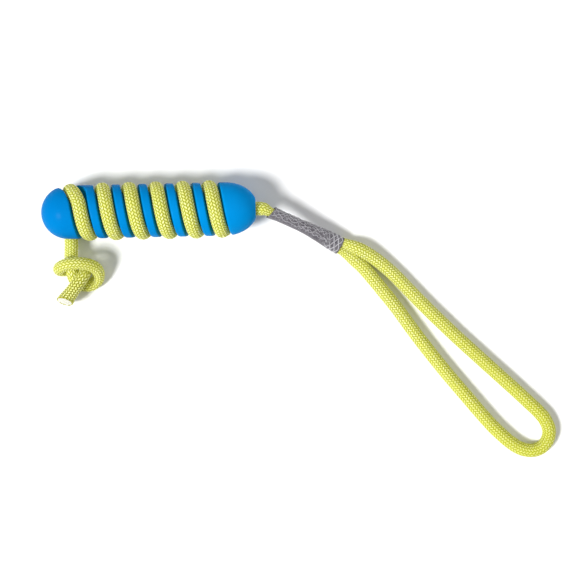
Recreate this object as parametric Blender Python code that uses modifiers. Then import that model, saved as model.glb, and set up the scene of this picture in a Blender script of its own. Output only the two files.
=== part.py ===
"""Training bumper: a grooved float wound with one braided rope, which ends in a knot and in a hand loop.

The float's axis lies along +X over the floor at z = 0. The rope comes out of a cross bore near the -X end
as a knotted tail, winds along the groove, dives into the +X end, leaves it on the axis, and passes through
a stitched sleeve into the loop. All values are in metres and radians.
"""

import math

import bmesh
import bpy
from mathutils import Matrix, Vector

# Driving dimensions
ROPE_R = 0.0060
FLOAT_R = 0.0238
FLOAT_LENGTH = 0.190
FACE_R = 0.0090            # flat face around the rope's mouth at the +X end
DOME_LONG = 0.0288         # long half-axis of the +X dome, which the flat face cuts short
WRAP_R = 0.0200            # from the float's axis to the wound rope's centre
PITCH = 0.0236
TURN_X = -0.0584           # where the first turn crosses the top
LAST_TURN = 5              # crossings of the top after the first
GAP = 0.0003
SHARP = math.radians(40)   # edges that turn more than this aren't shaded smooth

AXIS_Z = WRAP_R + ROPE_R   # the wound rope touches the floor
LAST_ANGLE = math.pi + math.tau * LAST_TURN   # where the rope leaves the helix for the mouth

# The groove and the bores that hold the rope
GROOVE_HALF = 0.0081
GROOVE_OUT = 0.0285        # the cutter's outer radius, beyond the float
GROOVE_START = math.radians(-22)
GROOVE_END = LAST_ANGLE + math.radians(66)
GROOVE_ROUNDING = math.radians(20)
START_HALF = 0.0069        # at its start the groove narrows to this on the rope's +X side
START_WIDER = 0.0022       # and widens by this on the other side
START_DEEPER = 0.0020
END_DEEPER = 0.0045        # where the rope dives for the mouth
BORE_R = 0.0066
BORE_X = -0.0702
FLARE_R = 0.0086           # the cross bore's rounded entrance
FLARE_Y = 0.0186
FLARE_DROP = 0.0052        # below the float's axis

# The rope's way into the cross bore
LEAD_SHIFT = 0.0070        # how far the first crossing leans towards the bore
LEAD_ANGLE = math.radians(70)
LEAD_END = math.radians(30)

STEP = math.radians(15)    # between the points of the wound rope and of its groove
ROUTE_STEP = 0.0035        # between the points of ropes that follow a route
CUT_PAST = 0.006           # how far a bore's cutter reaches past the float
SLEEVE_WALL = 0.0008
SLEEVE_WIDE = (0.0052, 0.0079)    # half its width where it starts, and at the loop
SLEEVE_THICK = (0.0050, 0.0046)   # half its thickness there
SLEEVE_SPREADS = 0.35      # the share of its length where it begins to widen
SLEEVE_STEP = 0.0085       # between the sections of the sleeve and of the ropes inside it
SLEEVED_R = 0.0040         # the standing rope, drawn thin by the sleeve
SPLICE_R = 0.0031          # either rope where they lie side by side in the sleeve
SPLICE_SHIFT = 0.0036      # from the sleeve's middle to either rope there
SPLICE_SHARE = (0.42, 0.90)       # of the sleeve, where the standing rope moves aside
RETURN_SHARE = 0.80        # of the sleeve, beyond which the returning rope lies
LOOP_THICKENS = (0.001, 0.025)    # from the loop's ends, where it grows to its full size
KNOT_R = 0.0053            # the rope pulled tight in its knot
CUT_R = 0.0072             # the rope's cut end, frayed
KNOT_TIGHTENS = (0.06, 0.14)      # shares of the tail's length
KNOT_LOOSENS = (0.84, 0.95)
END_SPREADS = (0.93, 1.0)
THREAD_R = 0.0003
STITCH_ROWS = 6            # on each side of the sleeve
STITCH_STEP = 0.0025       # along the sleeve from one turn of a zigzag to the next
STITCH_SWAY = 0.30         # either way from a row's middle, as a share of the rows' distance
STITCH_LOW = -0.62         # how far across the sleeve the rows reach, from -1 to 1
STITCH_HIGH = 0.92
CORE_R = 0.0044
CORE_LONG = 0.0070

# Where the ropes bend: the moving pieces' pivots
HANDLE_PIVOT = (0.1016, -0.0006, 0.0260)
LOOP_PIVOT = (0.1702, -0.0349, 0.0129)
TAIL_PIVOT = (-0.0702, -0.0295, 0.0138)

# Hand-chosen route points, in metres
BORE_ROUTE = [
    (-0.0685, 0.0193, 0.0034), (-0.0699, 0.0181, -0.0032), (-0.0702, 0.0145, -0.0074),
    (-0.0702, 0.0090, -0.0095), (-0.0702, 0.0000, -0.0106), (-0.0702, -0.0120, -0.0119),
    (-0.0702, -0.0228, -0.0122),
]
MOUTH_ROUTE = [
    (0.0676, -0.0170, -0.0098), (0.0706, -0.0088, -0.0152), (0.0742, 0.0000, -0.0146),
    (0.0786, 0.0054, -0.0094), (0.0835, 0.0054, -0.0038), (0.0880, 0.0030, -0.0008),
    (0.0920, 0.0008, 0.0000), (0.0948, 0.0000, 0.0000),
]
TAIL_ROUTE = [
    (-0.0702, -0.0295, 0.0138), (-0.0705, -0.0340, 0.0137), (-0.0705, -0.0390, 0.0147),
    (-0.0702, -0.0440, 0.0163), (-0.0698, -0.0490, 0.0171), (-0.0694, -0.0540, 0.0162),
    (-0.0684, -0.0590, 0.0124), (-0.0652, -0.0630, 0.0082), (-0.0604, -0.0648, 0.0062),
    (-0.0552, -0.0648, 0.0060), (-0.0508, -0.0628, 0.0064), (-0.0478, -0.0594, 0.0084),
    (-0.0468, -0.0554, 0.0120), (-0.0475, -0.0516, 0.0164), (-0.0502, -0.0485, 0.0210),
    (-0.0548, -0.0466, 0.0250), (-0.0600, -0.0455, 0.0278), (-0.0652, -0.0452, 0.0290),
    (-0.0704, -0.0457, 0.0287), (-0.0752, -0.0468, 0.0267), (-0.0790, -0.0484, 0.0228),
    (-0.0810, -0.0498, 0.0176), (-0.0808, -0.0508, 0.0122), (-0.0784, -0.0510, 0.0078),
    (-0.0745, -0.0506, 0.0058), (-0.0698, -0.0500, 0.0056), (-0.0650, -0.0499, 0.0062),
    (-0.0612, -0.0507, 0.0090), (-0.0589, -0.0522, 0.0130), (-0.0586, -0.0543, 0.0172),
    (-0.0598, -0.0573, 0.0206), (-0.0624, -0.0608, 0.0218), (-0.0654, -0.0646, 0.0215),
    (-0.0692, -0.0693, 0.0199), (-0.0731, -0.0741, 0.0179), (-0.0770, -0.0790, 0.0160),
]
NECK_ROUTE = [(0.1016, -0.0006, 0.0260), (0.1048, -0.0019, 0.0254), (0.1080, -0.0035, 0.0246)]
SLEEVE_ROUTE = [
    (0.1100, -0.0046, 0.0241), (0.1243, -0.0111, 0.0203), (0.1395, -0.0183, 0.0165),
    (0.1544, -0.0261, 0.0129), (0.1695, -0.0345, 0.0095),
]
LOOP_ROUTE = [
    (0.1721, -0.0317, 0.0094), (0.1745, -0.0327, 0.0095), (0.1779, -0.0340, 0.0106),
    (0.1838, -0.0365, 0.0112), (0.1901, -0.0398, 0.0102), (0.1996, -0.0460, 0.0082),
    (0.2098, -0.0542, 0.0066), (0.2190, -0.0630, 0.0062), (0.2295, -0.0743, 0.0062),
    (0.2400, -0.0856, 0.0062), (0.2505, -0.0966, 0.0062), (0.2610, -0.1071, 0.0062),
    (0.2715, -0.1175, 0.0062), (0.2820, -0.1275, 0.0062), (0.3030, -0.1473, 0.0062),
    (0.3240, -0.1670, 0.0062), (0.3345, -0.1772, 0.0062), (0.3430, -0.1855, 0.0062),
    (0.3495, -0.1935, 0.0062), (0.3530, -0.2030, 0.0062), (0.3515, -0.2115, 0.0062),
    (0.3465, -0.2180, 0.0062), (0.3400, -0.2208, 0.0062), (0.3335, -0.2208, 0.0062),
    (0.3260, -0.2185, 0.0062), (0.3180, -0.2132, 0.0062), (0.3100, -0.2060, 0.0062),
    (0.3020, -0.1980, 0.0062), (0.2915, -0.1858, 0.0062), (0.2810, -0.1730, 0.0062),
    (0.2600, -0.1472, 0.0062), (0.2390, -0.1196, 0.0062), (0.2183, -0.0902, 0.0062),
    (0.2078, -0.0766, 0.0062), (0.1993, -0.0657, 0.0062), (0.1900, -0.0545, 0.0062),
    (0.1838, -0.0485, 0.0062), (0.1777, -0.0432, 0.0066), (0.1708, -0.0388, 0.0086),
    (0.1685, -0.0378, 0.0093),
]

BLUE = (0.004, 0.235, 0.70, 1)
LIME = (0.62, 0.68, 0.09, 1)
GREY = (0.19, 0.18, 0.20, 1)
PALE_GREY = (0.48, 0.48, 0.50, 1)
CREAM = (0.84, 0.82, 0.74, 1)


def clear_scene():
    for ob in list(bpy.data.objects):
        bpy.data.objects.remove(ob, do_unlink=True)


def collection(name):
    made = bpy.data.collections.new(name)
    bpy.context.scene.collection.children.link(made)
    return made


def material(name, colour, roughness):
    made = bpy.data.materials.new(name)
    made.use_nodes = True
    shader = made.node_tree.nodes["Principled BSDF"]
    shader.inputs["Base Color"].default_value = colour
    shader.inputs["Roughness"].default_value = roughness
    shader.inputs["Metallic"].default_value = 0.0
    return made


def smooth_curve(points, spacing):
    """Points about spacing apart along a smooth curve through the route's points."""
    route = [Vector(p) for p in points]
    ends = [2 * route[0] - route[1]] + route + [2 * route[-1] - route[-2]]
    dense = []
    for a, b, c, d in zip(ends, ends[1:], ends[2:], ends[3:]):
        for k in range(16):
            t = k / 16
            dense.append(0.5 * (2 * b + (c - a) * t + (2 * a - 5 * b + 4 * c - d) * t ** 2
                                + (3 * b - 3 * c + d - a) * t ** 3))
    dense.append(route[-1])
    lengths = [0.0]
    for a, b in zip(dense, dense[1:]):
        lengths.append(lengths[-1] + (b - a).length)
    count = max(2, round(lengths[-1] / spacing))
    picked, at = [], 0
    for k in range(count + 1):
        wanted = lengths[-1] * k / count
        while at < len(lengths) - 2 and lengths[at + 1] < wanted:
            at += 1
        share = (wanted - lengths[at]) / (lengths[at + 1] - lengths[at])
        picked.append(dense[at].lerp(dense[at + 1], min(max(share, 0.0), 1.0)))
    return picked


def tube(name, points, radii, sides_level, home, finish=None):
    """A round tube along points, with a radius at each of them and closed ends."""
    curve = bpy.data.curves.new(name, "CURVE")
    curve.dimensions = "3D"
    curve.bevel_depth = 1.0
    curve.bevel_resolution = sides_level
    curve.use_fill_caps = True
    spline = curve.splines.new("POLY")
    spline.points.add(len(points) - 1)
    for node, point, radius in zip(spline.points, points, radii):
        node.co = (*point, 1)
        node.radius = radius
    ob = bpy.data.objects.new(name, curve)
    home.objects.link(ob)
    if finish:
        curve.materials.append(finish)
    return ob


def as_mesh(ob, home, finish=None):
    """The curve object as a welded mesh object of the same name."""
    name = ob.name
    bpy.context.view_layer.update()
    evaluated = ob.evaluated_get(bpy.context.evaluated_depsgraph_get())
    mesh = bpy.data.meshes.new_from_object(evaluated)
    made = bpy.data.objects.new(name + "_solid", mesh)
    made.matrix_world = ob.matrix_world.copy()
    home.objects.link(made)
    bpy.data.objects.remove(ob, do_unlink=True)
    made.name = name
    form = bmesh.new()
    form.from_mesh(mesh)
    bmesh.ops.remove_doubles(form, verts=form.verts, dist=1e-6)
    bmesh.ops.recalc_face_normals(form, faces=form.faces)
    form.to_mesh(mesh)
    form.free()
    mesh.shade_smooth()
    mesh.set_sharp_from_angle(angle=SHARP)
    mesh.materials.clear()
    if finish:
        mesh.materials.append(finish)
    return made


def pivot(name, place, home):
    """An empty on a joint's axis, which carries the pieces that turn about it."""
    made = bpy.data.objects.new(name, None)
    made.empty_display_size = 0.02
    made.location = place
    home.objects.link(made)
    return made


def carry(ob, empty):
    """Parents the object to the empty, and leaves it where it is."""
    ob.parent = empty
    ob.matrix_parent_inverse = Matrix.Translation(-empty.location)


def loft(name, rings, home, finish=None, capped=True):
    """A surface through rings of points that all have the same count, with ends or left open."""
    form = bmesh.new()
    rows = [[form.verts.new(p) for p in ring] for ring in rings]
    count = len(rings[0])
    for a, b in zip(rows, rows[1:]):
        for k in range(count):
            form.faces.new((a[k], a[(k + 1) % count], b[(k + 1) % count], b[k]))
    if capped:
        form.faces.new(rows[0])
        form.faces.new(rows[-1])
    bmesh.ops.recalc_face_normals(form, faces=form.faces)
    mesh = bpy.data.meshes.new(name)
    form.to_mesh(mesh)
    form.free()
    mesh.shade_smooth()
    mesh.set_sharp_from_angle(angle=SHARP)
    ob = bpy.data.objects.new(name, mesh)
    home.objects.link(ob)
    if finish:
        mesh.materials.append(finish)
    return ob


def cut(ob, cutter):
    """A difference that stays on the object, and a cutter that isn't part of the model."""
    cutter.hide_render = True
    cutter.display_type = "WIRE"
    change = ob.modifiers.new(cutter.name, "BOOLEAN")
    change.operation = "DIFFERENCE"
    change.object = cutter


def turn_x(angle):
    """Where the groove's centre is along the float at an angle round it, from +Y towards +Z."""
    return TURN_X + PITCH * (angle - math.pi / 2) / math.tau


def lead_x(angle):
    """The rope's own place along the float, which leans towards the cross bore at its start."""
    lean = max(0.0, 1 - angle / LEAD_ANGLE) ** 1.15
    return turn_x(angle) - LEAD_SHIFT * lean


def on_float(x, radius, angle):
    return Vector((x, radius * math.cos(angle), AXIS_Z + radius * math.sin(angle)))


def raised(route):
    """Route points given from the float's axis, as points over the floor."""
    return [Vector((x, y, z + AXIS_Z)) for x, y, z in route]


def ease(low, high, value):
    t = min(max((value - low) / (high - low), 0.0), 1.0)
    return t * t * (3 - 2 * t)


def wound_points():
    """The wound rope's centre from the cross bore's outer end to the mouth in the +X face."""
    bore = smooth_curve([on_float(lead_x(LEAD_END), WRAP_R, LEAD_END)] + raised(BORE_ROUTE), ROUTE_STEP)
    steps = round((LAST_ANGLE - LEAD_END) / STEP)
    turns = [on_float(lead_x(a), WRAP_R, a)
             for a in (LEAD_END + (LAST_ANGLE - LEAD_END) * k / steps for k in range(steps + 1))]
    mouth = smooth_curve([turns[-1]] + raised(MOUTH_ROUTE), ROUTE_STEP)
    return bore[:0:-1] + turns + mouth[1:], len(bore) - 1, len(mouth) - 1


def groove_ring(angle):
    """The groove's section at an angle: a round floor under straight walls."""
    start = 1 - ease(math.radians(4), math.radians(42), angle)
    low = lead_x(angle) - GROOVE_HALF - START_WIDER * start
    high = turn_x(angle) + GROOVE_HALF
    high += (lead_x(angle) + START_HALF - high) * start
    centre, half = (low + high) / 2, (high - low) / 2
    to_end = min(angle - GROOVE_START, GROOVE_END - angle) / GROOVE_ROUNDING
    half *= math.sqrt(max(0.1, 1 - max(0.0, 1 - to_end) ** 2))
    floor = WRAP_R - ROPE_R - GAP - START_DEEPER * (1 - ease(math.radians(-20), math.radians(15), angle))
    floor -= END_DEEPER * ease(LAST_ANGLE - math.radians(10), GROOVE_END, angle)
    ring = [on_float(high, GROOVE_OUT, angle), on_float(low, GROOVE_OUT, angle)]
    for k in range(8):
        turn = math.pi - math.pi * k / 7
        depth = GROOVE_HALF * (1 - math.sin(turn))
        ring.append(on_float(centre + half * math.cos(turn), floor + depth, angle))
    return ring


def make_float(parts, cutters, finish, route, bore_count, mouth_count):
    """The float: a capsule with a flat +X face, a helical groove, a cross bore and a mouth."""
    half = FLOAT_LENGTH / 2
    cut_at = math.acos(FACE_R / FLOAT_R)
    dome_x = half - DOME_LONG * math.sin(cut_at)
    profile = [(-half, 0.0)]
    for k in range(1, 10):
        a = math.pi / 2 * k / 9
        profile.append((-half + FLOAT_R * (1 - math.cos(a)), FLOAT_R * math.sin(a)))
    for k in range(9):
        a = cut_at * k / 8
        profile.append((dome_x + DOME_LONG * math.sin(a), FLOAT_R * math.cos(a)))
    profile.append((half, 0.0))
    mesh = bpy.data.meshes.new("float_body")
    mesh.from_pydata([(x, 0.0, -r) for x, r in profile], [(k, k + 1) for k in range(len(profile) - 1)], [])
    ob = bpy.data.objects.new("float_body", mesh)
    ob.location = (0, 0, AXIS_Z)
    parts.objects.link(ob)
    mesh.materials.append(finish)
    turned = ob.modifiers.new("turned", "SCREW")
    turned.axis = "X"
    turned.steps = 48
    turned.render_steps = 48
    turned.use_merge_vertices = True
    turned.merge_threshold = 0.00001

    steps = round((GROOVE_END - GROOVE_START) / STEP)
    rings = [groove_ring(GROOVE_START + (GROOVE_END - GROOVE_START) * k / steps) for k in range(steps + 1)]
    cut(ob, loft("groove_cutter", rings, cutters))

    ahead = route[0] + (route[0] - route[1]).normalized() * CUT_PAST
    bore = [ahead] + route[:bore_count + 2]
    cut(ob, as_mesh(tube("cross_bore_cutter", bore, [BORE_R] * len(bore), 4, cutters), cutters))
    beyond = route[-1] + Vector((CUT_PAST, 0, 0))
    mouth = route[-mouth_count + 2:] + [beyond]
    cut(ob, as_mesh(tube("mouth_cutter", mouth, [BORE_R] * len(mouth), 4, cutters), cutters))

    bpy.ops.mesh.primitive_uv_sphere_add(segments=20, ring_count=12, radius=FLARE_R,
                                         location=(BORE_X, FLARE_Y, AXIS_Z - FLARE_DROP))
    flare = bpy.context.object
    flare.name = "flare_cutter"
    for home in list(flare.users_collection):
        home.objects.unlink(flare)
    cutters.objects.link(flare)
    cut(ob, flare)
    return ob


def swinging_end(points, radius):
    """The points of a tube with a half-ball before its first point, and their radii."""
    back = (points[0] - points[1]).normalized()
    steps = [radius * math.sin(math.pi / 2 * k / 4) for k in range(4, 0, -1)]
    ball = [points[0] + back * s for s in steps]
    radii = [radius * math.sqrt(max(0.0, 1 - (s / radius) ** 2)) for s in steps]
    radii[0] = radius * 0.12
    return ball + list(points), radii + [radius] * len(points)


def make_tail(parts, cutters, finish, core_finish):
    """The knotted tail, with its core showing in the cut end."""
    points = smooth_curve(TAIL_ROUTE, ROUTE_STEP)
    total = len(points) - 1
    points, radii = swinging_end(points, ROPE_R)
    front = len(points) - 1 - total
    for k in range(total + 1):
        share = k / total
        squeeze = ease(*KNOT_TIGHTENS, share) - ease(*KNOT_LOOSENS, share)
        spread = ease(*END_SPREADS, share)
        radii[front + k] = ROPE_R - (ROPE_R - KNOT_R) * squeeze + (CUT_R - ROPE_R) * spread
    rope = as_mesh(tube("rope_tail", points, radii, 3, parts, finish), parts, finish)
    away = (points[-1] - points[-2]).normalized()
    seat = [points[-1] - away * CORE_LONG, points[-1] + away * CUT_PAST]
    cut(rope, as_mesh(tube("core_seat_cutter", seat, [CORE_R + GAP] * 2, 3, cutters), cutters))
    ends = [points[-1] - away * (CORE_LONG - GAP), points[-1] + away * 0.0002]
    core = tube("rope_tail_core", ends, [CORE_R] * 2, 3, parts, core_finish)
    return [rope, core]


def sleeve_frames(points):
    """Each point with the directions across the sleeve and up from it."""
    frames = []
    for k, point in enumerate(points):
        ahead = points[min(k + 1, len(points) - 1)] - points[max(k - 1, 0)]
        side = Vector((-ahead.y, ahead.x, 0)).normalized()
        frames.append((point, side, ahead.cross(side).normalized()))
    return frames


def sleeve_half(share):
    """Half of the sleeve's outer width and thickness, from its narrow to its wide end."""
    wide = SLEEVE_WIDE[0] + (SLEEVE_WIDE[1] - SLEEVE_WIDE[0]) * ease(SLEEVE_SPREADS, 1.0, share)
    return wide, SLEEVE_THICK[0] + (SLEEVE_THICK[1] - SLEEVE_THICK[0]) * share


def sleeve_point(frame, share, turn, inset):
    """A point of the sleeve's section, moved in by inset, at a turn from across to up."""
    point, side, up = frame
    wide, thick = sleeve_half(share)
    c, s = math.cos(turn), math.sin(turn)
    return (point + side * math.copysign(abs(c) ** 0.85, c) * (wide - inset)
            + up * math.copysign(abs(s) ** 0.85, s) * (thick - inset))


def make_sleeve(parts, finish):
    """The woven sleeve: an open flattened tube with a thin wall, wider where it holds two ropes."""
    frames = sleeve_frames(smooth_curve(SLEEVE_ROUTE, SLEEVE_STEP))
    last = len(frames) - 1
    turns = [math.tau * k / 24 for k in range(24)]
    rings = [[sleeve_point(f, k / last, t, 0.0) for t in turns] for k, f in enumerate(frames)]
    ob = loft("sleeve", rings, parts, finish, capped=False)
    wall = ob.modifiers.new("wall", "SOLIDIFY")
    wall.thickness = SLEEVE_WALL
    wall.offset = -1
    return ob


def make_stitches(parts, finish):
    """Zigzag rows of thread on the sleeve's top, and the same under it, set as mirror images."""
    frames = sleeve_frames(smooth_curve(SLEEVE_ROUTE, STITCH_STEP))
    last = len(frames) - 1
    out = -(GAP + THREAD_R + 0.00012)
    made = []
    for face, sign in (("top", 1), ("under", -1)):
        for row in range(STITCH_ROWS):
            points = []
            for k, frame in enumerate(frames[1:-1], 1):
                sway = 0.5 + STITCH_SWAY * (1 if (k + row) % 2 else -1)
                across = (row + sway) / STITCH_ROWS * (STITCH_HIGH - STITCH_LOW) + STITCH_LOW
                points.append(sleeve_point(frame, k / last, sign * math.acos(across), out))
            radii = [THREAD_R] * len(points)
            made.append(tube(f"stitch_{face}_{row + 1}", points, radii, 1, parts, finish))
    return made


def make_handle_ropes(parts, finish):
    """The rope through the neck and sleeve, and its other end, which comes back into the sleeve."""
    frames = sleeve_frames(smooth_curve(SLEEVE_ROUTE, SLEEVE_STEP))
    last = len(frames) - 1
    neck = smooth_curve(NECK_ROUTE, 0.0030)
    points, radii = swinging_end(neck, ROPE_R)
    thinner = ROPE_R - SLEEVED_R
    radii[-len(neck):] = [ROPE_R - thinner * ease(0.0, 1.0, k / (len(neck) - 1)) for k in range(len(neck))]
    shifts = [side * SPLICE_SHIFT * ease(*SPLICE_SHARE, k / last) for k, (_, side, _) in enumerate(frames)]
    for k, (point, _, _) in enumerate(frames):
        points.append(point + shifts[k])
        radii.append(SLEEVED_R - (SLEEVED_R - SPLICE_R) * ease(0.1, 0.8, k / last))
    points[-1] -= (points[-1] - points[-2]).normalized() * 0.0001
    standing = tube("rope_neck", points, radii, 3, parts, finish)
    back = [point - shifts[k] for k, (point, _, _) in enumerate(frames) if k / last > RETURN_SHARE]
    returned = tube("rope_return", back, [SPLICE_R] * len(back), 3, parts, finish)
    return [standing, returned]


def make_loop(parts, finish):
    """The hand loop, thinner where it enters the sleeve."""
    fine = smooth_curve(LOOP_ROUTE, 0.0031)
    points = [p for k, p in enumerate(fine) if k % 3 == 0 or min(k, len(fine) - 1 - k) < 4]
    last = len(points) - 1
    lengths = [0.0]
    for a, b in zip(points, points[1:]):
        lengths.append(lengths[-1] + (b - a).length)
    radii = []
    for k in range(last + 1):
        end = min(lengths[k], lengths[-1] - lengths[k])
        radii.append(SPLICE_R + (ROPE_R - SPLICE_R) * ease(*LOOP_THICKENS, end))
    return [tube("rope_loop", points, radii, 3, parts, finish)]


def main():
    clear_scene()
    parts = collection("training_bumper")
    cutters = collection("cutters")
    blue = material("float_blue", BLUE, 0.42)
    lime = material("rope_lime", LIME, 0.75)
    grey = material("sleeve_grey", GREY, 0.85)
    pale = material("thread_grey", PALE_GREY, 0.6)
    cream = material("core_cream", CREAM, 0.85)

    route, bore_count, mouth_count = wound_points()
    make_float(parts, cutters, blue, route, bore_count, mouth_count)
    tube("rope_wrap", route, [ROPE_R] * len(route), 3, parts, lime)
    tail = make_tail(parts, cutters, lime, cream)
    handle = make_handle_ropes(parts, lime) + [make_sleeve(parts, grey)] + make_stitches(parts, pale)
    loop = make_loop(parts, lime)
    for name, place, pieces in (("tail_pivot", TAIL_PIVOT, tail), ("handle_pivot", HANDLE_PIVOT, handle),
                                ("loop_pivot", LOOP_PIVOT, loop)):
        empty = pivot(name, place, parts)
        for piece in pieces:
            carry(piece, empty)


main()
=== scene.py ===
"""The looks of the training bumper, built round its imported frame: the plaited rope, the moulded float,
the woven sleeve and its thread. Lengths are metres in the frame's own axes, +Z up, floor at z = 0."""

import math

import bpy
import numpy as np
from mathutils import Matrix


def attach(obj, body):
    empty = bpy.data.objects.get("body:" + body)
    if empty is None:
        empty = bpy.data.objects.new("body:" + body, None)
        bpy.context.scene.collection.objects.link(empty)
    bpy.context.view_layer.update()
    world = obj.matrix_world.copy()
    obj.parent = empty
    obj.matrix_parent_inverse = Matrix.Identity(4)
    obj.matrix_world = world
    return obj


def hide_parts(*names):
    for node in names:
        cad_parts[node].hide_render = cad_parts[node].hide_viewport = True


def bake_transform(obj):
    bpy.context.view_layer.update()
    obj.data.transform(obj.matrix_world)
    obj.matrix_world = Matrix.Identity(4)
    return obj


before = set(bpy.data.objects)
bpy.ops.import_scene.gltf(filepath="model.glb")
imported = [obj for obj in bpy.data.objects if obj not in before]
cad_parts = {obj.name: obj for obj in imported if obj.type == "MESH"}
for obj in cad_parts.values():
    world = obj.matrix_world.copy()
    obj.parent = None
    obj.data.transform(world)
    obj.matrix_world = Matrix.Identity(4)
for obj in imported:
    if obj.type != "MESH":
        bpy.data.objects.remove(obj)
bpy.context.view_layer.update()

# The rope and the float, as in the CAD
ROPE_R = 0.0060
WRAP_R = 0.0200
AXIS_Z = WRAP_R + ROPE_R
PITCH = 0.0236
TURN_X = -0.0584
LAST_ANGLE = math.pi * 11
LEAD_SHIFT = 0.0070
LEAD_ANGLE = math.radians(70)
LEAD_END = math.radians(30)

BORE_ROUTE = [
    (-0.0685, 0.0193, 0.0034), (-0.0699, 0.0181, -0.0032), (-0.0702, 0.0145, -0.0074),
    (-0.0702, 0.0090, -0.0095), (-0.0702, 0.0000, -0.0106), (-0.0702, -0.0148, -0.0120),
]
MOUTH_ROUTE = [
    (0.0676, -0.0170, -0.0098), (0.0706, -0.0088, -0.0152), (0.0742, 0.0000, -0.0146),
    (0.0786, 0.0054, -0.0094), (0.0835, 0.0054, -0.0038), (0.0880, 0.0030, -0.0008),
    (0.0912, 0.0010, 0.0000),
]
TAIL_ROUTE = [
    (-0.0702, -0.0151, 0.0140), (-0.0702, -0.0228, 0.0138), (-0.0702, -0.0295, 0.0138),
    (-0.0705, -0.0340, 0.0137), (-0.0705, -0.0390, 0.0147), (-0.0702, -0.0440, 0.0163),
    (-0.0698, -0.0490, 0.0171), (-0.0694, -0.0540, 0.0162), (-0.0684, -0.0590, 0.0124),
    (-0.0652, -0.0630, 0.0082), (-0.0604, -0.0648, 0.0062), (-0.0552, -0.0648, 0.0060),
    (-0.0508, -0.0628, 0.0064), (-0.0478, -0.0594, 0.0084), (-0.0468, -0.0554, 0.0120),
    (-0.0475, -0.0516, 0.0164), (-0.0502, -0.0485, 0.0210), (-0.0548, -0.0466, 0.0250),
    (-0.0600, -0.0455, 0.0278), (-0.0652, -0.0452, 0.0290), (-0.0704, -0.0457, 0.0287),
    (-0.0752, -0.0468, 0.0267), (-0.0790, -0.0484, 0.0228), (-0.0810, -0.0498, 0.0176),
    (-0.0808, -0.0508, 0.0122), (-0.0784, -0.0510, 0.0078), (-0.0745, -0.0506, 0.0058),
    (-0.0698, -0.0500, 0.0056), (-0.0650, -0.0499, 0.0062), (-0.0612, -0.0507, 0.0090),
    (-0.0589, -0.0522, 0.0130), (-0.0586, -0.0543, 0.0172), (-0.0598, -0.0573, 0.0206),
    (-0.0624, -0.0608, 0.0218), (-0.0654, -0.0646, 0.0215), (-0.0692, -0.0693, 0.0199),
    (-0.0731, -0.0741, 0.0179), (-0.0770, -0.0790, 0.0160),
]
NECK_ROUTE = [
    (0.0914, 0.0010, 0.0260), (0.0950, -0.0001, 0.0260), (0.1016, -0.0006, 0.0260),
    (0.1048, -0.0019, 0.0254), (0.1080, -0.0035, 0.0246),
]
SLEEVE_ROUTE = [
    (0.1100, -0.0046, 0.0241), (0.1243, -0.0111, 0.0203), (0.1395, -0.0183, 0.0165),
    (0.1544, -0.0261, 0.0129), (0.1695, -0.0345, 0.0095),
]
LOOP_ROUTE = [
    (0.1721, -0.0317, 0.0094), (0.1745, -0.0327, 0.0095), (0.1779, -0.0340, 0.0106),
    (0.1838, -0.0365, 0.0112), (0.1901, -0.0398, 0.0102), (0.1996, -0.0460, 0.0082),
    (0.2098, -0.0542, 0.0066), (0.2190, -0.0630, 0.0062), (0.2295, -0.0743, 0.0062),
    (0.2400, -0.0856, 0.0062), (0.2505, -0.0966, 0.0062), (0.2610, -0.1071, 0.0062),
    (0.2715, -0.1175, 0.0062), (0.2820, -0.1275, 0.0062), (0.3030, -0.1473, 0.0062),
    (0.3240, -0.1670, 0.0062), (0.3345, -0.1772, 0.0062), (0.3430, -0.1855, 0.0062),
    (0.3495, -0.1935, 0.0062), (0.3530, -0.2030, 0.0062), (0.3515, -0.2115, 0.0062),
    (0.3465, -0.2180, 0.0062), (0.3400, -0.2208, 0.0062), (0.3335, -0.2208, 0.0062),
    (0.3260, -0.2185, 0.0062), (0.3180, -0.2132, 0.0062), (0.3100, -0.2060, 0.0062),
    (0.3020, -0.1980, 0.0062), (0.2915, -0.1858, 0.0062), (0.2810, -0.1730, 0.0062),
    (0.2600, -0.1472, 0.0062), (0.2390, -0.1196, 0.0062), (0.2183, -0.0902, 0.0062),
    (0.2078, -0.0766, 0.0062), (0.1993, -0.0657, 0.0062), (0.1900, -0.0545, 0.0062),
    (0.1838, -0.0485, 0.0062), (0.1777, -0.0432, 0.0066), (0.1708, -0.0388, 0.0086),
    (0.1685, -0.0378, 0.0093),
]

# The plait: 28 strands, each over two and under two
AROUND = 84                # points round a rope
STEP = 0.00056             # between rings along it
PAIRS = 14                 # strands each way round
PERIOD = 0.0027            # along the rope from one strand to the next
STRAND_RISE = 0.00065      # from between the strands to their crests
CREST_R = 0.00615          # out to the crests

HELD_FROM, HELD_AT = 0.0165, 0.0195    # from the float's axis, where the wound rope starts to flatten
HELD_THIN, HELD_WIDE = 0.06, 0.04      # and by what shares it gets thinner and wider

# The tail's cut end
CUT_TILT = math.radians(21)   # the cut faces up by this
CUT_TURN = math.radians(16)   # and is turned by this from square to the rope
CUT_BLEND = 0.0090            # the length over which the strands lean over to the cut
CUT_FLARE = 0.0012            # how much fatter the frayed end is
CUT_FRAY = 0.016              # the length over which it gets so
KNOT_THIN = 0.0005            # how much thinner the rope is, pulled tight in its knot
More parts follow.
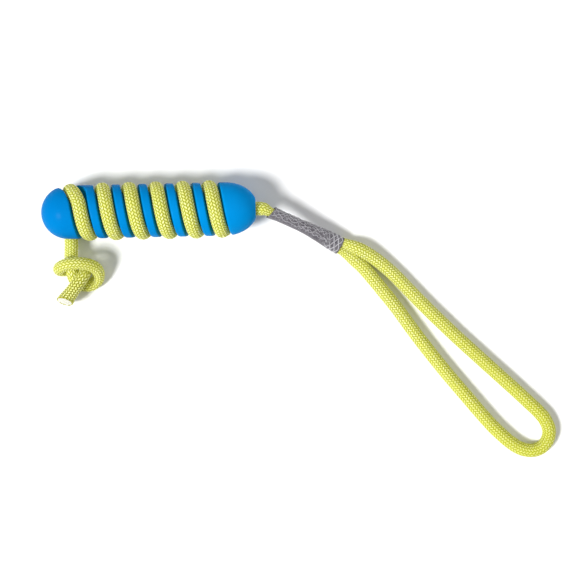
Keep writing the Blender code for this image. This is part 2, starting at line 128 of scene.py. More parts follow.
# The rim turned in over the cut: shares of the end's size, and how far out of the cut they stand
RIM = ((0.97, 0.0003), (0.92, 0.0004), (0.87, 0.0001), (0.85, -0.0008), (0.60, -0.0024))
RIM_LAY = 0.12                # strands passed from one of these rings to the next
CORE_EDGE = -4                # the ring that the core's edge follows
CORE_SHARE = 0.985
CORE_BUNDLES = 90
CORE_SIZE = 0.0060
CORE_CROWN = 0.0006           # how far the core's middle stands up
CORE_RELIEF = 0.0007          # and its bundles' ends
CORE_SUNK = 0.0007
CORE_SKIRT = ((0.55, -0.0020), (0.88, -0.0007))    # the core's hidden lower rings: share and height

# The loop and the standing rope, pressed thin where they go into the sleeve
LOOP_START_R, LOOP_END_R = 0.0043, 0.0036
LOOP_HIDDEN = 0.0045          # how far the loop's ends go on inside the sleeve
SLEEVE_AHEAD = (0.875, -0.443, -0.193)
LOOP_UP = (0.18, -0.09, 0.98)
LOOP_THIN, LOOP_WIDE = 0.13, 0.04
NECK_SHIFT = 0.0036           # to one side inside the sleeve, to leave room for the other rope
NECK_SHORT = 0.0055           # before the sleeve's end, where the standing rope stops
NECK_THIN = 0.0022            # how much thinner it is in the sleeve
SPLICE_THIN = 0.0006          # and again beside the other rope

# The sleeve and its thread
SLEEVE_WIDE = (0.0052, 0.0079)    # half its width where it starts, and at the loop
SLEEVE_THICK = (0.0050, 0.0046)   # half its thickness there
SLEEVE_SPREADS = 0.35             # the share of its length where it starts to get wider
SLEEVE_LIP = 0.0006               # how much wider its open start is
SLEEVE_SQUARE = 0.85              # below 1 its section is squarer than an ellipse
SLEEVE_WALL = 0.0007
SLEEVE_STEP = 0.0005              # between rings along it
SLEEVE_RINGS = 138
SLEEVE_POINTS = 96                # round it
SLANT = 0.0038                    # how much longer the sleeve's start is on its -Y side
WEAVE = 0.0007                    # between the sleeve's own threads
WEAVE_ROUND = 60                  # threads round the sleeve
STITCH_ROWS = 6
STITCH_LENGTH = 0.0690
STITCH_STEP = 0.0022              # along the sleeve from one turn of a zigzag to the next
LATTICE_FROM = 0.80               # the share of the sleeve beyond which the thread is thick and regular
LATTICE_R = 0.00040
THREAD_R = 0.00022
THREAD_STEP = 0.00035
THREAD_SIDES = 10
PLY_LAY = 0.0013                  # along the thread for one ply to take the other's place

# The float's mesh
VOXEL = 0.0007
SOFTENED = 13                     # times its edges are smoothed

CAMERA_AT = (0.1220, -0.0711, 1.7257)
CAMERA_TURN = math.radians(-1.2)
LENS = 120
SENSOR = 36

# Each sun's name, degrees round from +X, degrees above the floor, degrees across, and strength
SUNS = (("key", 206, 50, 18, 4.45), ("fill", 15, 33, 60, 1.1), ("top", 60, 80, 60, 0.58))
AMBIENT = 0.02

# The rope's colours: painted shade between its strands, its own colour along them and a painted highlight
# on their crests
LIME_SHADE_BODY_HIGHLIGHT = ((0.22, 0.23, 0.004, 1), (0.62, 0.635, 0.115, 1), (0.73, 0.745, 0.43, 1))
LIME_BEND_SHADE = (0.41, 0.42, 0.0, 1)      # painted shade, which darkens the loop towards its far bend
LIME_GAP_SHADE = (0.10, 0.10, 0.0, 1)       # painted shade between the opened strands of the tail's end
LIME_SINGED = (0.26, 0.25, 0.0, 1)


# Small geometry helpers

def unit(v):
    """The vectors at length 1."""
    return v / np.linalg.norm(v, axis=-1, keepdims=True)


def ease(low, high, value):
    """From 0 at low to 1 at high, without a corner."""
    t = np.clip((np.asarray(value, float) - low) / (high - low), 0, 1)
    return t * t * (3 - 2 * t)


def spaced(line, spacing):
    """The line's points, moved to equal distances of about spacing."""
    run = np.r_[0, np.cumsum(np.linalg.norm(np.diff(line, axis=0), axis=1))]
    at = np.linspace(0, run[-1], max(2, round(run[-1] / spacing) + 1))
    return np.stack([np.interp(at, run, line[:, k]) for k in range(3)], 1)


def smooth_curve(route, spacing):
    """Points about spacing apart along a smooth curve through the route's points."""
    p = np.array(route, float)
    p = np.vstack([2 * p[0] - p[1], p, 2 * p[-1] - p[-2]])
    t = np.linspace(0, 1, 24, endpoint=False)[:, None, None]
    a, b, c, d = p[:-3], p[1:-2], p[2:-1], p[3:]
    parts = 0.5 * (2 * b + (c - a) * t + (2 * a - 5 * b + 4 * c - d) * t ** 2
                   + (3 * b - 3 * c + d - a) * t ** 3)
    line = parts.transpose(1, 0, 2).reshape(-1, 3)
    return spaced(np.vstack([line, p[-2]]), spacing)


def tangents(line):
    """The line's direction at each point."""
    return unit(np.gradient(line, axis=0))


def carried_frames(line):
    """Two directions across the line at each point, which turn no more than the line itself."""
    ahead = tangents(line)
    across = np.zeros_like(line)
    first = np.cross(ahead[0], (0, 0, 1))
    across[0] = first / np.linalg.norm(first)
    for k in range(1, len(line)):
        moved = across[k - 1] - ahead[k] * np.dot(across[k - 1], ahead[k])
        across[k] = moved / np.linalg.norm(moved)
    return across, np.cross(ahead, across)


def grid_mesh(name, rings, uv=None, loop_back=False):
    """A mesh through rings of points, as rows of an array, closed at both ends unless it loops back.
    uv is one pair for each ring point, and one more for the seam's twin."""
    rows, count, _ = rings.shape
    index = np.arange(rows * count).reshape(rows, count)
    below = index if loop_back else index[:-1]
    above = np.roll(index, -1, 0) if loop_back else index[1:]
    quads = np.stack([below, np.roll(below, -1, 1), np.roll(above, -1, 1), above], -1).reshape(-1, 4)
    corners = quads.reshape(-1)
    sizes = np.full(len(quads), 4)
    if not loop_back:
        corners = np.r_[corners, index[0][::-1], index[-1]]
        sizes = np.r_[sizes, count, count]
    mesh = bpy.data.meshes.new(name)
    mesh.vertices.add(rows * count)
    mesh.vertices.foreach_set("co", rings.reshape(-1).astype(np.float32))
    mesh.loops.add(len(corners))
    mesh.loops.foreach_set("vertex_index", corners.astype(np.int32))
    mesh.polygons.add(len(sizes))
    mesh.polygons.foreach_set("loop_start", np.r_[0, np.cumsum(sizes)[:-1]].astype(np.int32))
    mesh.update(calc_edges=True)
    mesh.shade_smooth()
    if uv is not None:
        low, high = (uv, np.roll(uv, -1, 0)) if loop_back else (uv[:-1], uv[1:])
        face_uv = np.stack([low[:, :-1], low[:, 1:], high[:, 1:], high[:, :-1]], 2).reshape(-1, 2)
        layer = mesh.uv_layers.new(name="plait")
        values = np.zeros((len(corners), 2), np.float32)
        values[:len(face_uv)] = face_uv
        layer.data.foreach_set("uv", values.reshape(-1))
    ob = bpy.data.objects.new(name, mesh)
    bpy.context.scene.collection.objects.link(ob)
    return ob


def strand_height(right, left):
    """How high the plait stands, from 0 to 1. right and left count the strands of each direction."""
    i, j = np.floor(right), np.floor(left)
    turn = np.mod(i + j, 4)
    over = turn < 2
    across = np.where(over, right - i, left - j)
    along = np.where(over, left - j, right - i) + np.mod(turn, 2)
    crown = np.sqrt(np.clip(1 - (2 * across - 1) ** 2, 0, 1))
    return crown * (1 - 0.6 * (along - 1) ** 4)


def round_line(line, angle):
    """Directions out from each point of the line, at angles round it."""
    across, up = carried_frames(line)
    return np.cos(angle)[:, None] * across[:, None] + np.sin(angle)[:, None] * up[:, None]


def plait(line, radius=CREST_R, period=PERIOD, squeeze=None):
    """A plaited rope along the line. squeeze is (direction, factor along it, factor across it)."""
    step = np.r_[0, np.linalg.norm(np.diff(line, axis=0), axis=1)]
    along = np.cumsum(step / period)
    turn = np.arange(AROUND + 1) / AROUND
    u = np.broadcast_to(turn * PAIRS, (len(line), AROUND + 1))
    v = np.broadcast_to(along[:, None], u.shape)
    height = strand_height(u - v, u + v)[:, :-1]
    crest = np.broadcast_to(np.asarray(radius, float).reshape(-1, 1), height.shape)
    out = crest - STRAND_RISE * (1 - height)
    offset = out[..., None] * round_line(line, turn[:-1] * math.tau)
    if squeeze is not None:
        way, thin, wide = squeeze
        share = (offset * way[:, None]).sum(-1, keepdims=True)
        offset = offset * wide[:, None, None] + way[:, None] * share * (thin - wide)[:, None, None]
    return line[:, None] + offset, np.stack([u, v], -1)


# Material helpers

def new_material(name, roughness, **fixed):
    """A material with one Principled shader; fixed values go straight on its sockets."""
    made = bpy.data.materials.new(name)
    made.use_nodes = True
    shader = made.node_tree.nodes["Principled BSDF"]
    shader.inputs["Roughness"].default_value = roughness
    for socket, value in fixed.items():
        shader.inputs[socket.replace("_", " ")].default_value = value
    return made, made.node_tree, shader


def feed(tree, socket, value):
    """Links an output to the socket, or sets its value."""
    if isinstance(value, bpy.types.NodeSocket):
        tree.links.new(value, socket)
    else:
        socket.default_value = value


def calc(tree, operation, *values):
    node = tree.nodes.new("ShaderNodeMath")
    node.operation = operation
    for socket, value in zip(node.inputs, values):
        feed(tree, socket, value)
    return node.outputs[0]


def blend_colour(tree, share, low, high):
    node = tree.nodes.new("ShaderNodeMix")
    node.data_type = "RGBA"
    for name, value in (("Factor_Float", share), ("A_Color", low), ("B_Color", high)):
        socket = next(s for s in node.inputs if s.identifier == name)
        feed(tree, socket, value)
    return next(s for s in node.outputs if s.identifier == "Result_Color")


def remap(tree, value, low, high, to_low, to_high, smooth=True):
    node = tree.nodes.new("ShaderNodeMapRange")
    node.interpolation_type = "SMOOTHSTEP" if smooth else "LINEAR"
    for socket, entry in zip(node.inputs, (value, low, high, to_low, to_high)):
        feed(tree, socket, entry)
    return node.outputs[0]


def noise(tree, scale, detail=2.0):
    place = tree.nodes.new("ShaderNodeTexCoord")
    node = tree.nodes.new("ShaderNodeTexNoise")
    node.inputs["Scale"].default_value = scale
    node.inputs["Detail"].default_value = detail
    tree.links.new(place.outputs["Object"], node.inputs["Vector"])
    return node.outputs["Fac"]


def bump(tree, shader, height, strength, distance):
    node = tree.nodes.new("ShaderNodeBump")
    node.inputs["Strength"].default_value = strength
    node.inputs["Distance"].default_value = distance
    tree.links.new(height, node.inputs["Height"])
    tree.links.new(node.outputs["Normal"], shader.inputs["Normal"])


def layer_axes(tree):
    """The piece's own layer: round it, and along it."""
    node = tree.nodes.new("ShaderNodeUVMap")
    node.uv_map = "plait"
    split = tree.nodes.new("ShaderNodeSeparateXYZ")
    tree.links.new(node.outputs["UV"], split.inputs[0])
    return split.outputs["X"], split.outputs["Y"]


def object_x(tree):
    place = tree.nodes.new("ShaderNodeTexCoord")
    split = tree.nodes.new("ShaderNodeSeparateXYZ")
    tree.links.new(place.outputs["Object"], split.inputs[0])
    return split.outputs["X"]


def rope_material(name, painted_shade, body, crest, cut_at=None):
    """Plaited yarn: the same over-two under-two rule as the mesh, with painted shade between the strands
    and where they dive under, a painted highlight on their crests, fine yarns along each strand, and a
    faint painted yellow glow that lightens the shaded creases. cut_at is how many strands along it the
    tail's cut end is."""
    # The emission is a painted yellow glow, which lightens the rope's shaded creases.
    made, tree, shader = new_material(
        name, 0.6, Sheen_Weight=0.1, Sheen_Roughness=0.4, Specular_IOR_Level=0.2,
        Subsurface_Weight=0.4, Subsurface_Radius=(1.0, 1.0, 0.08), Subsurface_Scale=0.004,
        Emission_Color=(1.0, 1.0, 0.0, 1), Emission_Strength=0.07)
    u, v = layer_axes(tree)
    right, left = calc(tree, "SUBTRACT", u, v), calc(tree, "ADD", u, v)
    i, j = calc(tree, "FLOOR", right), calc(tree, "FLOOR", left)
    inner_right, inner_left = calc(tree, "SUBTRACT", right, i), calc(tree, "SUBTRACT", left, j)
    turn = calc(tree, "FLOORED_MODULO", calc(tree, "ADD", i, j), 4.0)
    over = calc(tree, "LESS_THAN", turn, 1.5)
    shift = calc(tree, "MULTIPLY", over, calc(tree, "SUBTRACT", inner_right, inner_left))
    across = calc(tree, "ADD", inner_left, shift)
    other = calc(tree, "SUBTRACT", inner_right, shift)
    along = calc(tree, "ADD", other, calc(tree, "FLOORED_MODULO", turn, 2.0))
    side = calc(tree, "ABSOLUTE", calc(tree, "MULTIPLY_ADD", across, 2.0, -1.0))
    end = calc(tree, "ABSOLUTE", calc(tree, "SUBTRACT", along, 1.0))
    # painted shade between the strands and where they dive under, and a painted highlight on their crests
    body_share = calc(tree, "MULTIPLY", remap(tree, side, 0.60, 1.0, 1.0, 0.1),
                      remap(tree, end, 0.40, 0.95, 1.0, 0.0))
    highlight_share = calc(tree, "MULTIPLY", remap(tree, side, 0.15, 0.85, 1.0, 0.0),
                       remap(tree, end, 0.2, 0.95, 1.0, 0.0))

    ids = tree.nodes.new("ShaderNodeCombineXYZ")
    own = calc(tree, "MULTIPLY", over, calc(tree, "SUBTRACT", i, j))
    feed(tree, ids.inputs[0], calc(tree, "ADD", j, own))
    feed(tree, ids.inputs[1], calc(tree, "FLOOR", calc(tree, "DIVIDE", calc(tree, "ADD", i, j), 2.0)))
    chance = tree.nodes.new("ShaderNodeTexWhiteNoise")
    tree.links.new(ids.outputs[0], chance.inputs["Vector"])

    # painted shade, then the rope's own colour, then a painted highlight whose strength differs from
    # strand to strand
    colour = blend_colour(tree, body_share, painted_shade, body)
    highlight_by_strand = remap(tree, chance.outputs["Value"], 0.0, 1.0, 0.45, 1.0, False)
    colour = blend_colour(tree, calc(tree, "MULTIPLY", highlight_share, highlight_by_strand), colour, crest)
    patch = remap(tree, noise(tree, 90.0), 0.35, 0.7, 0.0, 0.22)
    colour = blend_colour(tree, patch, colour, tuple(0.82 * c for c in body[:3]) + (1,))
    # painted shade: darker towards the loop's far bend
    bend_shade = remap(tree, object_x(tree), 0.22, 0.34, 0.0, 0.35, False)
    colour = blend_colour(tree, bend_shade, colour, LIME_BEND_SHADE)
    if cut_at is not None:
        # painted shade in the gaps between the opened strands near the cut end
        opened = remap(tree, v, cut_at - 13.0, cut_at - 9.0, 0.0, 0.85)
        gap = calc(tree, "MULTIPLY", opened, calc(tree, "SUBTRACT", 1.0, body_share))
        colour = blend_colour(tree, gap, colour, LIME_GAP_SHADE)
        singed = remap(tree, v, cut_at - 1.6, cut_at - 0.4, 0.0, 1.0)
        spots = remap(tree, noise(tree, 420.0), 0.46, 0.58, 0.15, 0.9)
        colour = blend_colour(tree, calc(tree, "MULTIPLY", singed, spots), colour, LIME_SINGED)
    feed(tree, shader.inputs["Base Color"], colour)
    feed(tree, shader.inputs["Roughness"], remap(tree, body_share, 0.0, 1.0, 0.85, 0.55, False))

    yarns = calc(tree, "SINE", calc(tree, "MULTIPLY", across, math.tau * 4))
    height = calc(tree, "ADD", calc(tree, "MULTIPLY", yarns, 0.25), body_share)
    bump(tree, shader, height, 0.5, 0.0002)
    return made


def float_material():
    """Moulded foam rubber: satin blue, with painted light that makes it a little lighter towards the
    mouth, and a faintly pitted skin.
    """
    made, tree, shader = new_material("float_blue", 0.28, IOR=1.05)
    # painted light: the colour gets lighter towards the mouth end
    painted_light = remap(tree, object_x(tree), -0.095, 0.095, 0.0, 1.0, False)
    soft = remap(tree, noise(tree, 26.0, 3.0), 0.3, 0.7, -0.1, 0.1)
    colour = blend_colour(tree, calc(tree, "ADD", painted_light, soft),
                          (0.0004, 0.172, 0.480, 1), (0.0008, 0.236, 0.600, 1))
    feed(tree, shader.inputs["Base Color"], colour)
    feed(tree, shader.inputs["Roughness"], remap(tree, noise(tree, 60.0, 4.0), 0.3, 0.7, 0.25, 0.33))
    bump(tree, shader, noise(tree, 1500.0, 2.0), 0.12, 0.0002)
    return made


def sleeve_material():
    """Grey tape in a plain weave, worn pale and dark in patches except along its folded side."""
    made, tree, shader = new_material("sleeve_grey", 0.85, Sheen_Weight=0.2, Sheen_Roughness=0.5,
                                      Specular_IOR_Level=0.25)
    u, v = layer_axes(tree)
    warp = calc(tree, "ABSOLUTE", calc(tree, "SINE", calc(tree, "MULTIPLY", u, math.pi)))
    weft = calc(tree, "ABSOLUTE", calc(tree, "SINE", calc(tree, "MULTIPLY", v, math.pi)))
    cell = calc(tree, "ADD", calc(tree, "FLOOR", u), calc(tree, "FLOOR", v))
    check = calc(tree, "FLOORED_MODULO", cell, 2.0)
    weave = calc(tree, "ADD", calc(tree, "MULTIPLY", check, warp),
                 calc(tree, "MULTIPLY", calc(tree, "SUBTRACT", 1.0, check), weft))
    colour = blend_colour(tree, remap(tree, weave, 0.1, 0.9, 0.0, 1.0),
                          (0.075, 0.070, 0.082, 1), (0.170, 0.160, 0.180, 1))
    from_fold = calc(tree, "ABSOLUTE", calc(tree, "SUBTRACT", u, WEAVE_ROUND / 2))
    fold = remap(tree, from_fold, 5.5, 8.0, 0.0, 1.0)
    worn = remap(tree, noise(tree, 700.0, 3.0), 0.48, 0.66, 0.0, 0.65)
    colour = blend_colour(tree, calc(tree, "MULTIPLY", worn, fold), colour, (0.37, 0.36, 0.385, 1))
    dark = remap(tree, noise(tree, 480.0, 2.0), 0.40, 0.52, 0.55, 0.0)
    colour = blend_colour(tree, calc(tree, "MULTIPLY", dark, fold), colour, (0.055, 0.050, 0.060, 1))
    feed(tree, shader.inputs["Base Color"], colour)
    feed(tree, shader.inputs["Roughness"], remap(tree, weave, 0.0, 1.0, 0.95, 0.8, False))
    bump(tree, shader, weave, 0.7, 0.0003)
    return made


def thread_material():
    """Pale twisted thread."""
    made, tree, shader = new_material("thread_grey", 0.6, Sheen_Weight=0.2, Specular_IOR_Level=0.35)
    u, v = layer_axes(tree)
    twist = calc(tree, "SINE", calc(tree, "MULTIPLY", calc(tree, "ADD", u, v), math.tau))
    colour = blend_colour(tree, remap(tree, twist, -0.9, 0.6, 0.0, 1.0),
                          (0.26, 0.255, 0.28, 1), (0.62, 0.61, 0.64, 1))
    feed(tree, shader.inputs["Base Color"], colour)
    feed(tree, shader.inputs["Roughness"], remap(tree, twist, -1.0, 1.0, 0.8, 0.55, False))
    bump(tree, shader, twist, 0.5, 0.0001)
    return made


def core_material():
    """White fibre, seen end on, with painted shade between its bundles."""
    made, tree, shader = new_material("core_cream", 0.85, Sheen_Weight=0.2)
    place = tree.nodes.new("ShaderNodeTexCoord")
    cells = tree.nodes.new("ShaderNodeTexVoronoi")
    cells.inputs["Scale"].default_value = 1300.0
    tree.links.new(place.outputs["Object"], cells.inputs["Vector"])
    gap = cells.outputs["Distance"]
    # painted shade: darker between the fibre bundles
    colour = blend_colour(tree, remap(tree, gap, 0.2, 0.7, 0.0, 1.0),
                          (0.86, 0.86, 0.82, 1), (0.55, 0.54, 0.45, 1))
    feed(tree, shader.inputs["Base Color"], colour)
    feed(tree, shader.inputs["Roughness"], remap(tree, gap, 0.0, 0.8, 0.75, 0.95, False))
    bump(tree, shader, calc(tree, "SUBTRACT", 1.0, gap), 0.8, 0.0003)
    return made


def floor_material():
    made, tree, shader = new_material("floor_white", 0.9, Specular_IOR_Level=0.1)
    shade = blend_colour(tree, noise(tree, 3.0), (0.90, 0.90, 0.90, 1), (0.92, 0.92, 0.92, 1))
    feed(tree, shader.inputs["Base Color"], shade)
    return made


# The camera, the lights and the floor

def make_backdrop():
    """Pale where the camera looks past the floor, and nearly dark as a light."""
    world = bpy.data.worlds.new("studio")
    world.use_nodes = True
    tree = world.node_tree
    dim = tree.nodes["Background"]
    dim.inputs["Color"].default_value = (1, 1, 1, 1)
    dim.inputs["Strength"].default_value = AMBIENT
    pale = tree.nodes.new("ShaderNodeBackground")
    pale.inputs["Color"].default_value = (1, 1, 1, 1)
    ray = tree.nodes.new("ShaderNodeLightPath")
    either = tree.nodes.new("ShaderNodeMixShader")
    tree.links.new(ray.outputs["Is Camera Ray"], either.inputs["Fac"])
    tree.links.new(dim.outputs["Background"], either.inputs[1])
    tree.links.new(pale.outputs["Background"], either.inputs[2])
    tree.links.new(either.outputs["Shader"], tree.nodes["World Output"].inputs["Surface"])
    bpy.context.scene.world = world


def make_stage():
    camera = bpy.data.objects.new("camera", bpy.data.cameras.new("camera"))
    camera.data.lens = LENS
    camera.data.sensor_width = SENSOR
    camera.data.clip_end = 20
    camera.location = CAMERA_AT
    camera.rotation_euler = (0, 0, CAMERA_TURN)
    bpy.context.scene.collection.objects.link(camera)
    bpy.context.scene.camera = camera

    for name, turn, rise, width, power in SUNS:
        lamp = bpy.data.lights.new(name, "SUN")
        lamp.angle = math.radians(width)
        lamp.energy = power
        ob = bpy.data.objects.new(name, lamp)
        ob.rotation_euler = (math.radians(90 - rise), 0, math.radians(turn + 90))
        bpy.context.scene.collection.objects.link(ob)

    make_backdrop()
    bpy.context.scene.view_settings.view_transform = "Standard"

    bpy.ops.mesh.primitive_plane_add(size=6, location=(0.1, -0.1, 0))
    floor = bpy.context.object
    floor.name = "floor"
    floor.data.materials.append(floor_material())


# The rope

def lead_x(angle):
    """Where along the float the winding is, which leans over to the cross bore at its start."""
    lean = np.clip(1 - angle / LEAD_ANGLE, 0, None) ** 1.15
    return TURN_X + PITCH * (angle - math.pi / 2) / math.tau - LEAD_SHIFT * lean


def on_float(x, radius, angle):
    """Points round the float's axis."""
    return np.stack([x, radius * np.cos(angle), AXIS_Z + radius * np.sin(angle)], -1)


def wound_line():
    """The wound rope's centre, from inside the cross bore to just inside the mouth."""
    angles = np.arange(LEAD_END, LAST_ANGLE, math.radians(7.5))
    turns = on_float(lead_x(angles), WRAP_R, angles)
    raised = np.array([0, 0, AXIS_Z])
    route = np.vstack([np.array(BORE_ROUTE)[::-1] + raised, turns, np.array(MOUTH_ROUTE) + raised])
    return smooth_curve(route, STEP)


def make_wrap(finish):
    """The wound rope, a little flattened where it's pulled down into the groove."""
    line = wound_line()
    from_axis = line - np.stack([line[:, 0], np.zeros(len(line)), np.full(len(line), AXIS_Z)], 1)
    far = np.linalg.norm(from_axis, axis=1)
    held = ease(HELD_FROM, HELD_AT, far)
    squeeze = (unit(from_axis + 1e-9), 1 - HELD_THIN * held, 1 + HELD_WIDE * held)
    rings, uv = plait(line, squeeze=squeeze)
    ob = grid_mesh("wound_rope", rings, uv=uv)
    ob.data.materials.append(finish)
    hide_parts("rope_wrap")
    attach(ob, "float")


def cut_frame(line):
    """The tail's cut end: its middle, its normal, which tilts up, and two directions in the cut."""
    ahead = line[-1] - line[-6]
    c, s = math.cos(CUT_TURN), math.sin(CUT_TURN)
    level = unit(np.array([c * ahead[0] - s * ahead[1], s * ahead[0] + c * ahead[1], 0]))
    normal = level * math.cos(CUT_TILT) + np.array([0, 0, math.sin(CUT_TILT)])
    across = np.cross((0, 0, 1), level)
    return line[-1], unit(ahead), normal, across, np.cross(normal, across)


def to_cut(rings, line):
    """Slides the last rings along the rope until the end one lies in the cut."""
    middle, ahead, normal, _, _ = cut_frame(line)
    short = ((middle - rings) @ normal / (ahead @ normal))[..., None]
    near = np.arange(len(line))[::-1] * STEP
    weight = 1 - ease(0, CUT_BLEND, near)
    return rings + ahead * (short - near[:, None, None]) * weight[:, None, None] ** 2


def make_tail():
    """The tail with its knot, opened a little and singed at its cut end."""
    line = smooth_curve(TAIL_ROUTE, STEP)
    share = np.linspace(0, 1, len(line))
    to_end = np.arange(len(line))[::-1] * STEP
    radius = CREST_R - KNOT_THIN * (ease(0.12, 0.2, share) - ease(0.84, 0.92, share))
    radius = radius + CUT_FLARE * (1 - ease(0, CUT_FRAY, to_end)) ** 1.6
    rings, uv = plait(line, radius=radius, period=PERIOD * (1 - 0.1 * ease(0.86, 0.95, share)))
    rings = to_cut(rings, line)
    middle, _, normal, _, _ = cut_frame(line)
    rim = [middle + (rings[-1] - middle) * size + normal * out for size, out in RIM]
    rings = np.concatenate([rings, rim])
    uv = np.concatenate([uv, uv[-1] + (0, RIM_LAY) * np.arange(1, len(RIM) + 1)[:, None, None]])
    ob = grid_mesh("knotted_tail", rings, uv=uv)
    ob.data.materials.append(rope_material("rope_lime_cut", *LIME_SHADE_BODY_HIGHLIGHT, cut_at=float(uv[-1, 0, 1])))
    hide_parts("rope_tail")
    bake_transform(ob)
    core = make_core(line, rings[CORE_EDGE])


def make_core(line, edge):
    """The white fibres in the cut end: a low crown of bundle ends, inside the rope's rim."""
    middle, _, normal, across, up = cut_frame(line)
    chance = np.random.default_rng(5)
    bundles = chance.uniform(-1, 1, (CORE_BUNDLES, 2))
    bundles = bundles[np.linalg.norm(bundles, axis=1) < 1]
    hidden = np.array(CORE_SKIRT)
    share = np.r_[hidden[:, 0], np.linspace(1, 0.02, 26)]
    rows = middle + (edge - middle)[None] * CORE_SHARE * share[:, None, None]
    flat = (rows - middle) @ np.stack([across, up], 1) / CORE_SIZE
    gaps = np.sort(np.linalg.norm(flat[:, :, None] - bundles, axis=-1), axis=-1)
    inside = np.clip((gaps[..., 1] - gaps[..., 0]) / 0.16, 0, 1)
    crown = CORE_CROWN * (1 - share ** 2)[:, None] + CORE_RELIEF * inside
    crown[:len(hidden)] = hidden[:, 1:]
    rows = rows + normal * (crown - CORE_SUNK)[..., None]
    core = grid_mesh("core_fibres", rows)
    core.data.materials.append(CREAM)
    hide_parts("rope_tail_core")
    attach(core, "tail")
    return core


def make_loop(finish):
    """The hand loop, pressed thin and flat where its two ends go into the sleeve."""
    away = np.array(SLEEVE_AHEAD) * LOOP_HIDDEN
    route = np.array(LOOP_ROUTE)
    line = smooth_curve(np.vstack([route[0] - away, route, route[-1] - away]), STEP)
    run = np.arange(len(line)) * STEP
    end = np.minimum(run, run[::-1])
    start = np.where(run < run[-1] / 2, LOOP_START_R, LOOP_END_R)
    radius = start + (CREST_R - start) * ease(0.002, 0.022, end)
    flat = 1 - ease(0.004, 0.020, end)
    up = np.tile(unit(np.array(LOOP_UP)), (len(line), 1))
    rings, uv = plait(line, radius=radius, squeeze=(up, 1 - LOOP_THIN * flat, 1 + LOOP_WIDE * flat))
    ob = grid_mesh("hand_loop", rings, uv=uv)
    ob.data.materials.append(finish)
    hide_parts("rope_loop")
    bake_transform(ob)


def make_neck(finish, on_it):
    """The standing rope from the mouth on into the sleeve. on_it, the pieces on it, is not used."""
    sleeve = np.array(SLEEVE_ROUTE)
    ahead = tangents(sleeve)
    side = unit(np.stack([-ahead[:, 1], ahead[:, 0], np.zeros(len(sleeve))], 1))
    shift = NECK_SHIFT * ease(0.42, 0.90, np.linspace(0, 1, len(sleeve)))[:, None]
    route = np.vstack([NECK_ROUTE, (sleeve + side * shift)[1:]])
    line = smooth_curve(route, STEP)
    line = line[:-round(NECK_SHORT / STEP)]
    run = np.arange(len(line)) * STEP
    radius = CREST_R - NECK_THIN * ease(0.008, 0.020, run) - SPLICE_THIN * ease(0.040, 0.060, run)
    rings, uv = plait(line, radius=radius)
    ob = grid_mesh("standing_rope", rings, uv=uv)
    ob.data.materials.append(finish)
    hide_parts("rope_neck")
    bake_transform(ob)


# The float

def make_float(finish):
    """A copy of the CAD float, remeshed finely and smoothed, which rounds its edges."""
    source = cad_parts["float_body"]
    ob = bpy.data.objects.new("moulded_float", source.data.copy())
    bpy.context.scene.collection.objects.link(ob)
    grid = ob.modifiers.new("grid", "REMESH")
    grid.mode = "VOXEL"
    grid.voxel_size = VOXEL
    soften = ob.modifiers.new("soften", "SMOOTH")
    soften.factor = 0.5
    soften.iterations = SOFTENED
    bpy.context.view_layer.update()
    done = bpy.data.meshes.new_from_object(ob.evaluated_get(bpy.context.evaluated_depsgraph_get()))
    ob.modifiers.clear()
    ob.data = done
    done.materials.clear()
    done.materials.append(finish)
    done.shade_smooth()
    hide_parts("float_body")
    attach(ob, "float")


# The sleeve and its thread

def on_sleeve(share, turn, out):
    """Points of the flattened tube, at shares of its length and angles round it, out by out."""
    share, turn, out = np.broadcast_arrays(share, turn, out)
    line = smooth_curve(SLEEVE_ROUTE, SLEEVE_STEP)
    ahead = tangents(line)
    side = unit(np.stack([-ahead[:, 1], ahead[:, 0], np.zeros(len(line))], 1))
    up = unit(np.cross(ahead, side))
    along = np.linspace(0, 1, len(line))
    middle, ahead, side, up = (np.stack([np.interp(share, along, values[:, k]) for k in range(3)], -1)
                               for values in (line, ahead, side, up))
    wide = SLEEVE_WIDE[0] + (SLEEVE_WIDE[1] - SLEEVE_WIDE[0]) * ease(SLEEVE_SPREADS, 1, share)
    wide = wide + SLEEVE_LIP * (1 - ease(0, 0.1, share))
    thick = SLEEVE_THICK[0] + (SLEEVE_THICK[1] - SLEEVE_THICK[0]) * share
    c, s = np.cos(turn), np.sin(turn)
    x = np.sign(c) * np.abs(c) ** SLEEVE_SQUARE
    y = np.sign(s) * np.abs(s) ** SLEEVE_SQUARE
    slide = SLANT / 2 * (x - 1) * (1 - ease(0, 0.15, share))
    return (middle + ahead * slide[..., None] + side * (x * (wide + out))[..., None]
            + up * (y * (thick + out))[..., None])


def make_sleeve(finish):
    """The sleeve's outside and inside, joined at both open ends."""
    share = np.linspace(0, 1, SLEEVE_RINGS)[:, None]
    turn = np.arange(SLEEVE_POINTS) / SLEEVE_POINTS * math.tau
    rings = np.concatenate([on_sleeve(share, turn, 0.0), on_sleeve(share[::-1], turn, -SLEEVE_WALL)])
    around = np.arange(SLEEVE_POINTS + 1) / SLEEVE_POINTS * WEAVE_ROUND
    u = np.broadcast_to(around, (len(rings), len(around)))
    along = np.arange(SLEEVE_RINGS)
    v = np.r_[along, along[::-1]] * SLEEVE_STEP / WEAVE
    uv = np.stack([u, np.broadcast_to(v[:, None], u.shape)], -1)
    ob = grid_mesh("woven_sleeve", rings, uv=uv, loop_back=True)
    ob.data.materials.append(finish)
    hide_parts("sleeve")
    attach(ob, "handle")
    return ob


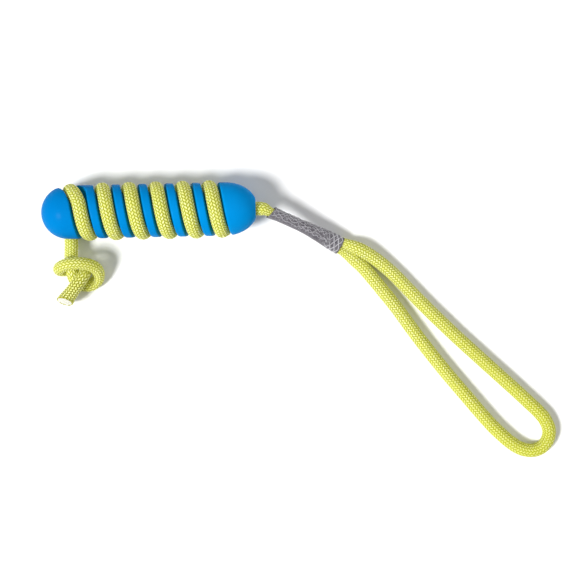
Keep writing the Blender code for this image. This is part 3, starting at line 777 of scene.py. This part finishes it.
def thread(name, line, radius):
    """Two plies twisted together along the line."""
    run = np.r_[0, np.cumsum(np.linalg.norm(np.diff(line, axis=0), axis=1))] / PLY_LAY
    turn = np.arange(THREAD_SIDES + 1) / THREAD_SIDES
    angle = turn[:-1] * math.tau
    out = radius[:, None] * (0.75 + 0.25 * np.abs(np.cos(angle - run[:, None] * math.pi)))
    offset = out[..., None] * round_line(line, angle)
    u = np.broadcast_to(0.25 + 2 * turn, (len(line), THREAD_SIDES + 1))
    uv = np.stack([u, np.broadcast_to(-run[:, None], u.shape)], -1)
    return grid_mesh(name, line[:, None] + offset, uv=uv)


def make_stitches(finish):
    """Zigzag rows of thread: fine and uneven along the sleeve, thick and regular near the loop."""
    chance = np.random.default_rng(11)
    turns = round(STITCH_LENGTH / STITCH_STEP)
    share = np.linspace(0.015, 0.985, turns)
    regular = ease(LATTICE_FROM - 0.04, LATTICE_FROM + 0.02, share)
    reach = math.pi * (0.66 + 0.31 * regular)
    made = []
    for face, sign in (("top", 1), ("under", -1)):
        for row in range(STITCH_ROWS):
            swing = np.where((np.arange(turns) + row) % 2, 0.46, -0.46)
            loose = (1 - regular) * chance.uniform(-1, 1, turns)
            down = (row + 0.5 + swing * (0.5 + 0.5 * regular) + 0.5 * loose) / STITCH_ROWS
            slip = (1 - regular) * chance.uniform(-0.5, 0.5, turns) / turns
            high = 0.00060 if row == 0 else 0.00030
            lift = 0.00008 + 0.00016 * regular + (1 - regular) * chance.uniform(-0.00025, high, turns)
            points = on_sleeve(share + slip, sign * reach * down, lift)
            line = smooth_curve(points, THREAD_STEP)
            at = np.linspace(0, 1, len(line))
            radius = THREAD_R + (LATTICE_R - THREAD_R) * np.interp(at, np.linspace(0, 1, turns), regular)
            ob = thread(f"thread_{face}_{row + 1}", line, radius)
            ob.data.materials.append(finish)
            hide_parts(f"stitch_{face}_{row + 1}")
            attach(ob, "handle")
            made.append(ob)
    return made


def dress_cad(nodes, finish):
    """Gives CAD nodes whose shape stays a finished material."""
    for name in nodes:
        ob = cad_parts[name]
        ob.data.materials.clear()
        ob.data.materials.append(finish)


make_stage()
LIME = rope_material("rope_lime", *LIME_SHADE_BODY_HIGHLIGHT)
BLUE = float_material()
GREY = sleeve_material()
THREAD = thread_material()
CREAM = core_material()

make_wrap(LIME)
make_tail()
make_loop(LIME)
dress_cad(["rope_return"], LIME)
make_neck(LIME, [make_sleeve(GREY)] + make_stitches(THREAD) + [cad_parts["rope_return"]])
make_float(BLUE)
